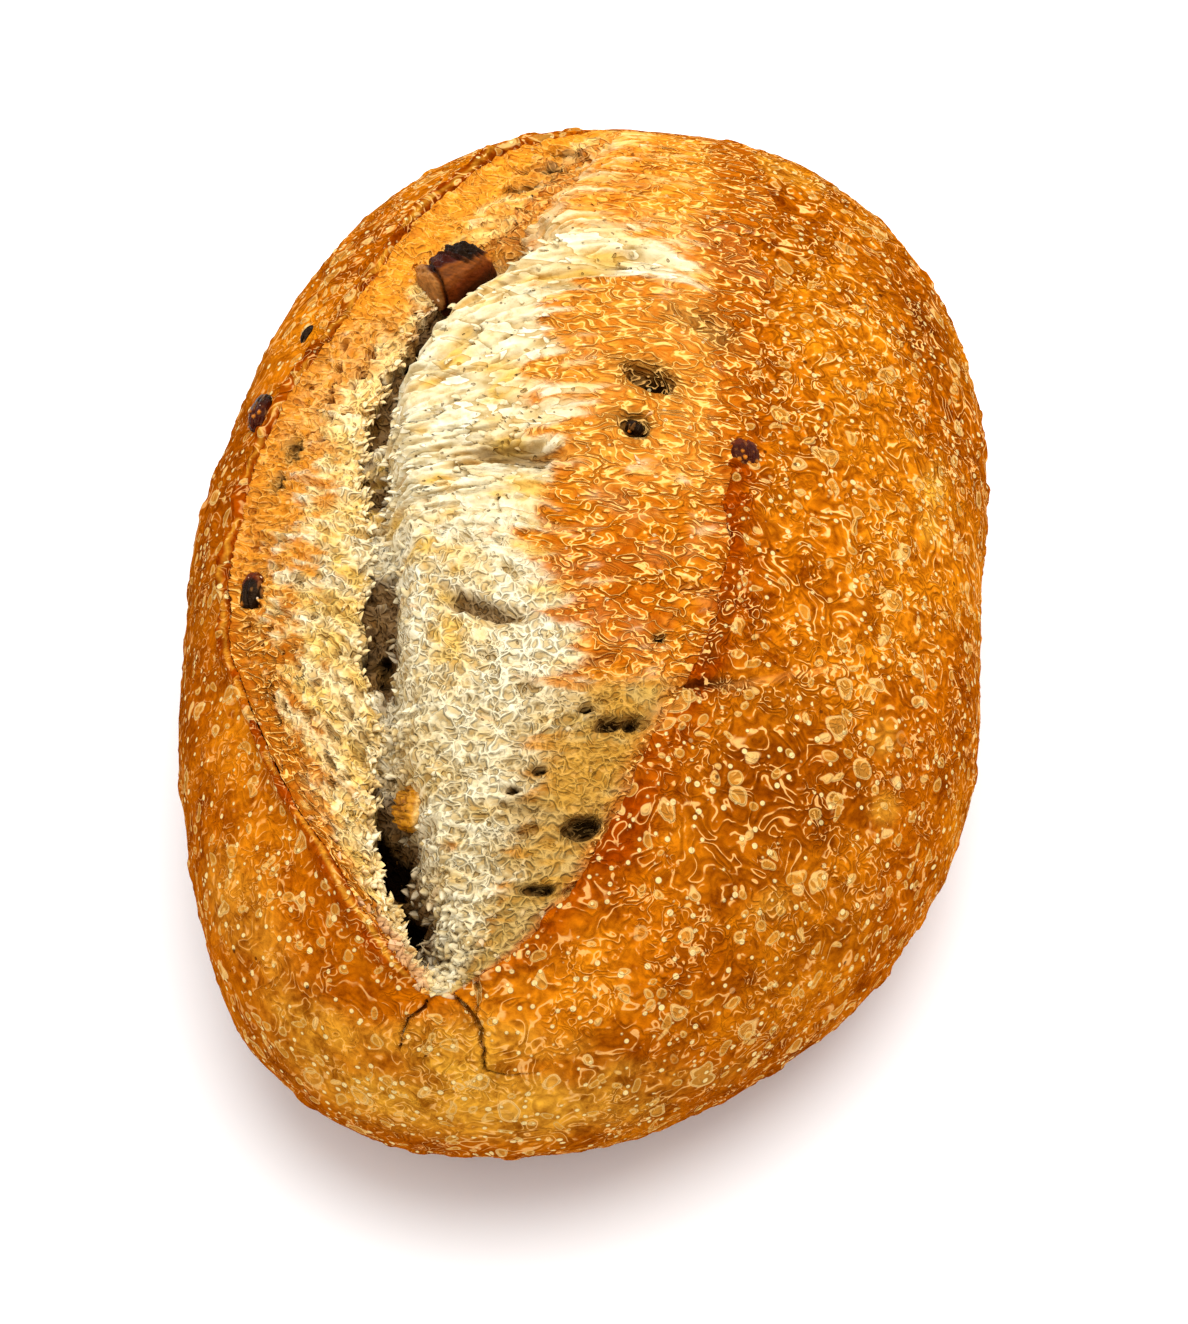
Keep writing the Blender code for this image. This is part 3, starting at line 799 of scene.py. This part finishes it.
# How much of the curled golden skin, the drawn-out layers and the light each part shows.
webbed = 0.75 * webby * (across < 0.97) + 0.55 * in_strip * (v > -25.0)
webbed = webbed + 0.5 * in_mound * ease((v - 44.0) / 8.0) * ease((0.6 - across) / 0.3)
paint(mesh, "gold", np.clip(gold * (1.0 - webbed) + lap, 0, 1))
paint(mesh, "pulled", np.where(in_mound, upper, 0.1))
paint(mesh, "lit", 1.0 - 0.85 * np.clip(deep_tear_shade + ease((tear_depth - 1.0) / 4.0) * 0.5, 0, 1))


def terraces(tree, where, scale, turns):
    """Torn layers lapping one over another: 0 just under an edge rising to 1 on the next."""
    return sums(tree, "FRACT", times(tree, grain(tree, where, scale, 2.0, 0.55, 0.5), turns))


# Torn layers where the crumb was pulled out, webs where it was not, curled ridges where it baked to
# gold; pores in the pale part only. The tone ramps paint shade under torn edges, in pores and in
# valleys and light on the tops; the gold ridges and dots carry painted highlights, dimmed down in
# the tear.
crumb_look, tree, place, painted = new_look("torn_crumb")
mesh.materials.append(crumb_look)
gold_part, lit_part, pulled_part = (brushed(tree, name) for name in ("gold", "lit", "pulled"))
pale_part = sums(tree, "SUBTRACT", 1.0, gold_part, clamp=True)
cloudy = grain(tree, place, 260.0, 4.0, 0.6)
fleck = grain(tree, place, 900.0, 3.0, 0.6)
colour = toned(tree, painted, heaped(tree, (cloudy, 0.6), (fleck, 0.4)),
               (0.34, (0.76, 0.66, 0.48)), (0.47, (1.0, 1.0, 1.0)), (0.62, (1.08, 1.10, 1.16)))

drawn_out = add("ShaderNodeMapping", tree, Vector=place, Rotation=(0.0, 0.0, 0.28),
                Scale=(0.36, 1.25, 1.0)).outputs[0]
layer = terraces(tree, drawn_out, 110.0, 6.0)
# Painted shade just under each torn edge, painted light towards the top of each layer.
layered = toned(tree, colour, layer, (0.0, (0.66, 0.54, 0.34)), (0.16, (0.92, 0.86, 0.74)),
                (0.5, (1.0, 0.99, 0.97)), (0.95, (1.14, 1.2, 1.34)))
swirled = bent_place(tree, place, 240.0, 0.006)
net = add("ShaderNodeTexVoronoi", tree, feature="DISTANCE_TO_EDGE", Vector=swirled, Scale=430.0)
net = band(tree, net.outputs["Distance"], 0.30, 0.03)
# Painted shade in the pores, painted light on the walls between them.
netted = toned(tree, colour, net, (0.0, (0.80, 0.70, 0.54)), (0.35, (0.96, 0.93, 0.88)),
               (0.9, (1.12, 1.14, 1.2)))
stretched = add("ShaderNodeMapping", tree, Vector=place, Scale=(0.55, 1.0, 1.0)).outputs[0]
tone = ripple(tree, stretched, 340.0, 4.6)
# Painted shade in the valleys of the gold ridges, painted light along their tops.
rippled = toned(tree, colour, tone, (0.0, (0.66, 0.46, 0.22)), (0.4, (0.96, 0.90, 0.84)),
                (0.75, (1.10, 1.12, 1.2)))
colour = blend(tree, gold_part, blend(tree, pulled_part, netted, layered), rippled)

lit_gold = times(tree, gold_part, lit_part)
curl = times(tree, band(tree, tone, 0.76, 0.94), lit_gold)
bent = bent_place(tree, place, 260.0, 0.004)
pit, _gap, _pick = spots(tree, bent, 480.0, 0.12, 0.12, 0.45)
dot, _gap, _pick = spots(tree, place, 420.0, 0.17, 0.08, 0.4)
# Painted highlights along the gold ridge tops and dots, painted shade in the pits of the pale crumb.
colour = dabbed(tree, colour, (curl, 0.85, (252, 196, 110)),
                (times(tree, pit, pale_part), 0.6, (120, 80, 30)),
                (times(tree, dot, lit_gold), 0.7, (238, 212, 152)))
layer = add("ShaderNodeMix", tree, i0=pulled_part, i2=net, i3=layer).outputs[0]
height = add("ShaderNodeMix", tree, i0=gold_part, i2=layer, i3=band(tree, tone, 0.0, 1.0)).outputs[0]
lift = heaped(tree, (fleck, 0.35), (height, 1.2), (pit, -0.9))
finish_look(tree, colour, lift, 0.9, 0.0008, band(tree, gold_part, 0.0, 1.0, 0.8, 0.36), 0.0)

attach(crumb_piece, "root")

# ---- Torn flakes ----
# The ragged fringe of the crumb: small curled slivers standing along both banks of the
# tear and on the edges of the ledges, where the dough was pulled apart in the oven.
# Each is a four-sided sliver of a few rows drawn to a tip, its root sunk in the crumb.
FLAKES, FLAKE_LENGTH, FLAKE_WIDTH = 1100, (0.9, 2.3), (0.5, 1.2)
FLAKE_ROWS, FLAKE_SINK, FLAKE_FLATNESS = 4, 0.5, 0.45
chance = np.random.default_rng(70)
skin = (under_side < 0.01) & (down - fall < 7.0)
on_banks = 2.6 * in_strip * np.exp(-np.abs(u - brink) / 0.9)
on_banks += 1.6 * in_mound * np.exp(-np.abs(u - foot) / 2.2)
on_ledges = 0.5 * in_mound * upper * cream_side * edge_of_ledge
here_and_there = 0.009 * softness * (in_mound | (in_strip & (v < -40.0))) * (across < 0.8)
places = skin * opened * (v < 52.0) * (on_banks + on_ledges + here_and_there)
roots = chance.choice(len(u), FLAKES, replace=False, p=places / places.sum())
section = ((1.0, 0.0), (0.0, FLAKE_FLATNESS), (-1.0, 0.0), (0.0, -FLAKE_FLATNESS))
flakes = bmesh.new()
flake_tint = []
for k in roots:
    out = upright[k]
    toward = np.array([1.0, -0.15, 0.0]) if in_strip[k] else np.array([-0.85, -0.55, 0.0])
    toward = toward + chance.normal(0.0, 0.55, 3)
    toward -= out * toward.dot(out)
    toward /= np.linalg.norm(toward)
    aside = np.cross(out, toward)
    length, wide = chance.uniform(*FLAKE_LENGTH), chance.uniform(*FLAKE_WIDTH)
    swing, rise = chance.normal(0.0, 0.5) * length, chance.uniform(0.15, 0.75) * length
    tone_here = mix(tint[k:k + 1], CREAM, [0.35])[0] * chance.uniform(0.9, 1.14)
    rows = []
    root = points[k] - out * FLAKE_SINK
    for t in np.arange(FLAKE_ROWS) / FLAKE_ROWS:
        curve = swing * t * t * aside + rise * (1.7 * t - 0.9 * t * t) * out
        middle, size = root + length * t * toward + curve, wide * (1.0 - t ** 2.2)
        rows.append([flakes.verts.new(middle + size * (a * aside + b * out)) for a, b in section])
        flake_tint += [tone_here * (0.92 + 0.2 * t)] * len(section)
    tip = flakes.verts.new(root + length * toward + swing * aside + rise * 0.8 * out)
    flake_tint.append(tone_here * 1.15)
    flakes.faces.new(rows[0])
    for a in range(-1, len(section) - 1):
        for low, high in zip(rows[:-1], rows[1:]):
            flakes.faces.new((low[a], low[a + 1], high[a + 1], high[a]))
        flakes.faces.new((rows[-1][a], rows[-1][a + 1], tip))
flakes_piece = finish_mesh(flakes, "torn_flakes", corners(flakes))
mesh = flakes_piece.data
paint_colour(mesh, "tint", np.array(flake_tint))
for name, value in (("gold", 0.0), ("lit", 1.0), ("pulled", 1.0)):
    paint(mesh, name, np.full(len(flake_tint), value))
mesh.materials.append(crumb_look)
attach(flakes_piece, "root")

# ---- Dried fruit ----
# Raisins and fruit worked into the dough: one big glossy chunk split open in the top of
# the tear, and five smaller pieces showing through the crust and crumb, half baked in.
CARAMEL, TAN, MAROON = shade(112, 56, 14), shade(158, 104, 50), shade(54, 12, 4)
CHAR, RUST, AMBER_CRUMBS_AND_GLINT = shade(20, 8, 2), shade(82, 26, 4), shade(190, 110, 26)


def crust_frame(place, sink, turned):
    """Where a lump sits: its Z stands out of the crust, turned about that upright."""
    u, v = np.array([place[0]]), np.array([place[1]])
    spot = dome(from_crown(u, v))[0]
    side = Vector(dome(from_crown(u + 1.0, v))[0] - spot).normalized()
    ahead = Vector(dome(from_crown(u, v + 1.0))[0] - spot).normalized()
    out = side.cross(ahead).normalized()
    axes = Matrix((side, out.cross(side), out)).transposed()
    axes = axes @ Matrix.Rotation(math.radians(turned), 3, "Z")
    return Matrix.Translation(Vector(spot) - out * sink) @ axes.to_4x4()


def ball(half, level, boxy=1.0):
    """A ball of cells as a block, its unit directions and its points in its own frame."""
    block = bmesh.new()
    bmesh.ops.create_icosphere(block, subdivisions=level, radius=1.0)
    unit = corners(block)
    full = np.sign(unit) * np.abs(unit) ** boxy
    return block, unit, full * np.array(half)


def bake_in(block, name, node, own, where, tint, look):
    """Set a lump in the crust and colour it."""
    turned = np.array(where.to_3x3())
    piece = finish_mesh(block, name, own @ turned.T + np.array(where.translation))
    paint_colour(piece.data, "tint", tint)
    piece.data.materials.append(look)
    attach(piece, "root")
    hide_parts(node)


def fibred(tree, place, turned, drawn, scale):
    """Fine fibres running one way: how the lump is turned, how far they are drawn out."""
    along = add("ShaderNodeMapping", tree, Vector=place, Rotation=turned, Scale=(drawn, 1.0, 1.0))
    return grain(tree, along.outputs[0], scale, 3.0, 0.6)


fruit_look, tree, place, painted = new_look("dried_fruit")
fibres = fibred(tree, place, (0.0, 0.6, 0.5), 0.25, 1500.0)
colour = toned(tree, painted, fibres, (0.32, (0.70, 0.66, 0.62)), (0.5, (1.0, 1.0, 1.0)),
               (0.68, (1.3, 1.3, 1.3)))
glint, _gap, _pick = spots(tree, place, 420.0, 0.13, 0.05, 0.22)
colour = dabbed(tree, colour, (glint, 0.8, (250, 220, 180)))
shader = finish_look(tree, colour, fibres, 0.6, 0.0004, 0.26, 0.10)
shader.inputs["Specular Tint"].default_value = (1.0, 0.62, 0.36, 1.0)

# The chunk lies lengthwise in the tear: caramel flesh in front, crumpled dark skin along
# its upper edge, a charred grooved corner, and a strip of tan skin folded down its left.
CHUNK_HALF, CHUNK_CUT = (8.8, 6.2, 6.2), -5.2
CHUNK_GROOVES = ((1.6, 0.5), (2.9, 0.8), (4.3, 0.5), (5.6, 0.6), (7.0, 0.5))
block, unit, own = ball(CHUNK_HALF, 6, 0.72)
x, y, z = own.T
high_side = 0.8 * y + 0.55 * z
rumple = lumps(own, (3.2, 2.2, 2.2), 80, 3)
grooves = np.zeros(len(x))
for at, wide in CHUNK_GROOVES:
    from_groove = np.abs(x - at + 0.25 * high_side + 0.4 * rumple)
    grooves = np.maximum(grooves, ease(1.0 - from_groove / wide))
grooves *= ease((high_side + 2.5) / 3.0)
leftward = 0.41 * high_side - 0.91 * x - 0.3 * rumple
gully = ease(1.0 - np.abs(leftward - 5.4) / 0.8)
fold = ease((leftward - 6.0) / 0.6)
skin_edge = np.where(x < 0, 0.25, 0.4) * x
top_skin = ease((high_side - 1.0 + skin_edge + 0.6 * rumple) / 1.4)
swell = 0.35 * rumple + 0.8 * top_skin * lumps(own, (1.5, 3.0, 3.0), 81, 2)
swell += 0.6 * fold - 0.8 * gully - 0.8 * grooves
swell -= 1.0 * ease((np.abs(x) - 6.0) / 3.0)
swell -= 0.6 * ease((2.2 - high_side) / 2.0) * ease((4.0 - np.abs(x + 1.0)) / 3.0)
own = own + unit * swell[:, None]
own[:, 0] = np.where(x < CHUNK_CUT, CHUNK_CUT + 0.55 * (own[:, 0] - CHUNK_CUT), own[:, 0])

flesh = np.tile(CARAMEL, (len(x), 1)) * (1.0 + 0.5 * lumps(own, (5.0, 0.9, 0.9), 82, 2))[:, None]
folded_skin = TAN * (1.0 - 0.5 * lumps(own, (0.7, 3.0, 3.0), 83, 2))[:, None]
tint = coats(
    flesh,
    (RUST, 0.85 * ease((-high_side - 0.5 + 0.3 * rumple) / 3.0)),
    (CHAR, 0.8 * ease((-high_side - 2.6) / 2.5)),
    (MAROON, top_skin),
    (CHAR, ease((x - 1.6 + 0.25 * high_side) / 1.4) * ease((high_side + 0.8) / 1.6)),
    (CHAR, 0.9 * grooves),
    (folded_skin, 0.9 * fold),
    (CHAR, 0.85 * gully),
    # A painted amber glint low at the right end of the flesh.
    (AMBER_CRUMBS_AND_GLINT, 0.8 * ease(1.0 - np.hypot((x - 6.6) / 1.3, (high_side + 1.6) / 1.6))))
bake_in(block, "fruit_chunk_detail", "fruit_chunk", own, crust_frame((-22.5, 48.5), 5.2, 24.0),
        tint, fruit_look)

# The small ones: name, place over the crust, sink, half sizes, turn, upper-end colour,
# rest colour, share of golden crumbs stuck to the lower end. Each has a furrow lengthwise.
SMALL_FRUIT = (
    ("fruit_bit_lip", (-61.0, -29.5), 1.6, (2.5, 5.0, 2.4), 8.0, RUST, CHAR, 0.35),
    ("fruit_bit_shoulder", (-67.5, 31.5), -0.3, (2.6, 5.2, 2.2), -14.0, CHAR, MAROON, 0.9),
    ("fruit_bit_crust", (-55.0, 51.0), 0.8, (1.3, 3.1, 1.9), -40.0, CHAR, CHAR, 0.2),
    ("fruit_bit_bloom", (4.0, 8.5), -1.0, (2.0, 1.6, 1.8), 0.0, CHAR, CHAR, 0.3),
    ("fruit_bit_ridge", (22.5, 12.5), -0.9, (3.1, 3.6, 1.9), 20.0, RUST, MAROON, 0.8),
)
for number, fruit in enumerate(SMALL_FRUIT):
    node, place_uv, sink, half, turned, upper_colour, rest_colour, stuck = fruit
    block, unit, own = ball(half, 5)
    x, y, z = (own / np.array(half)).T
    wrinkle = lumps(own, (0.8, 2.4, 1.2), 84 + number, 3)
    crumbs_near, _n, crumbs_who = bubbles(own, 1.3, 90 + number)
    crumbs = ease((0.42 - crumbs_near) / 0.15) * (crumbs_who < stuck) * ease((0.1 - y) / 0.4)
    own = own * (1.0 - 0.16 * np.abs(y) ** 2)[:, None] * np.array([1, 1 / 0.9, 1])
    furrow = ease(1.0 - np.abs(x - 0.2) / 0.22)
    own = own + unit * (0.30 * wrinkle + 0.35 * crumbs - 0.35 * furrow)[:, None]
    tint = coats(
        np.tile(rest_colour, (len(x), 1)),
        (upper_colour, ease((y - 0.15 + 0.5 * wrinkle) / 0.3)),
        (TAN, 0.35 * ease((wrinkle - 0.35) / 0.2)),
        (AMBER_CRUMBS_AND_GLINT, 0.9 * crumbs))
    bake_in(block, node + "_detail", node, own, crust_frame(place_uv, sink, turned),
            tint, fruit_look)

# ---- Candied peel ----
# A flaky sliver of golden peel standing on edge in the lower part of the tear, with a
# saw-toothed left side and paler fibres along its right.
PEEL_HALF, PEEL_TEETH_APART, PEEL_TOOTH = (2.6, 4.6, 3.2), 1.5, 2.0
PEEL_GOLD, PEEL_BROWN, PEEL_FIBRE = shade(188, 124, 14), shade(120, 62, 4), shade(232, 190, 110)
peel_look, tree, place, painted = new_look("peel")
fibres = fibred(tree, place, (0.0, 0.0, 0.9), 0.3, 1400.0)
colour = toned(tree, painted, fibres, (0.34, (0.55, 0.42, 0.2)), (0.5, (1.0, 1.0, 1.0)),
               (0.66, (1.3, 1.35, 1.6)))
finish_look(tree, colour, fibres, 0.7, 0.0004, 0.4, 0.2)

block, unit, own = ball(PEEL_HALF, 5)
x, y, z = own.T
teeth = y / PEEL_TEETH_APART + 0.5 * lumps(own, 1.6, 96, 2)
teeth = teeth - np.floor(teeth)
left_side = ease((0.6 - x) / 1.6)
own[:, 0] -= PEEL_TOOTH * teeth * left_side - 0.5
own[:, 2] *= 1.0 - 0.35 * ease(-x / 2.0)
own = own + unit * (0.7 * lumps(own, (1.2, 2.2, 1.2), 97, 3))[:, None]
tint = coats(
    np.tile(PEEL_GOLD, (len(x), 1)),
    (PEEL_BROWN, 0.8 * left_side * (1.0 - teeth)),
    (PEEL_FIBRE, 0.7 * ease((x - 0.9) / 0.8)))
bake_in(block, "peel_bit_detail", "peel_bit", own, crust_frame((-14.2, -60.5), 6.8, 10.0),
        tint, peel_look)

# ---- Table, light and view ----
# A wide sheet of white paper in a white room, one broad soft light overhead a little
# behind the loaf, and a long lens looking down on its near end.
PAPER_HALF, PAPER_WHITE, ROOM_LIGHT = 3.0, 0.95, 0.98
paper_grid = bmesh.new()
bmesh.ops.create_grid(paper_grid, x_segments=1, y_segments=1, size=PAPER_HALF)
paper_mesh = bpy.data.meshes.new("floor")
paper_grid.to_mesh(paper_mesh)
paper_grid.free()
paper = bpy.data.materials.new("white_paper")
paper.use_nodes = True
shader = paper.node_tree.nodes["Principled BSDF"]
shader.inputs["Base Color"].default_value = (PAPER_WHITE, PAPER_WHITE, PAPER_WHITE, 1)
shader.inputs["Roughness"].default_value = 0.9
paper_mesh.materials.append(paper)
put_in_scene("floor", paper_mesh)

world = bpy.data.worlds.new("studio")
bpy.context.scene.world = world
world.use_nodes = True
world.node_tree.nodes["Background"].inputs["Color"].default_value = (1, 1, 1, 1)
world.node_tree.nodes["Background"].inputs["Strength"].default_value = ROOM_LIGHT

LAMP_PLACE, LAMP_AIM = Vector((0.06, 0.16, 1.10)), Vector((0.0, 0.0, 0.04))
LAMP_WIDE, LAMP_WATTS = 1.2, 13.0
lamp = bpy.data.lights.new("top_softbox", "AREA")
lamp.shape, lamp.size, lamp.energy = "DISK", LAMP_WIDE, LAMP_WATTS
to_loaf = (LAMP_AIM - LAMP_PLACE).to_track_quat("-Z", "Y").to_matrix().to_4x4()
put_in_scene("top_softbox", lamp).matrix_world = Matrix.Translation(LAMP_PLACE) @ to_loaf

AZIMUTH, ELEVATION, AWAY = math.radians(8.7), math.radians(55.0), 0.9
AIM = Vector((0.0034, -0.0148, 0.045))
lens = bpy.data.cameras.new("camera")
lens.lens, lens.sensor_width = 119.0, 36.0
lens.clip_start, lens.clip_end = 0.01, 10.0
back = Vector((math.sin(AZIMUTH) * math.cos(ELEVATION),
               -math.cos(AZIMUTH) * math.cos(ELEVATION), math.sin(ELEVATION)))
camera = put_in_scene("camera", lens)
facing = back.to_track_quat("Z", "Y").to_matrix().to_4x4()
camera.matrix_world = Matrix.Translation(AIM + back * AWAY) @ facing
bpy.context.scene.camera = camera
bpy.context.scene.view_settings.view_transform = "Standard"
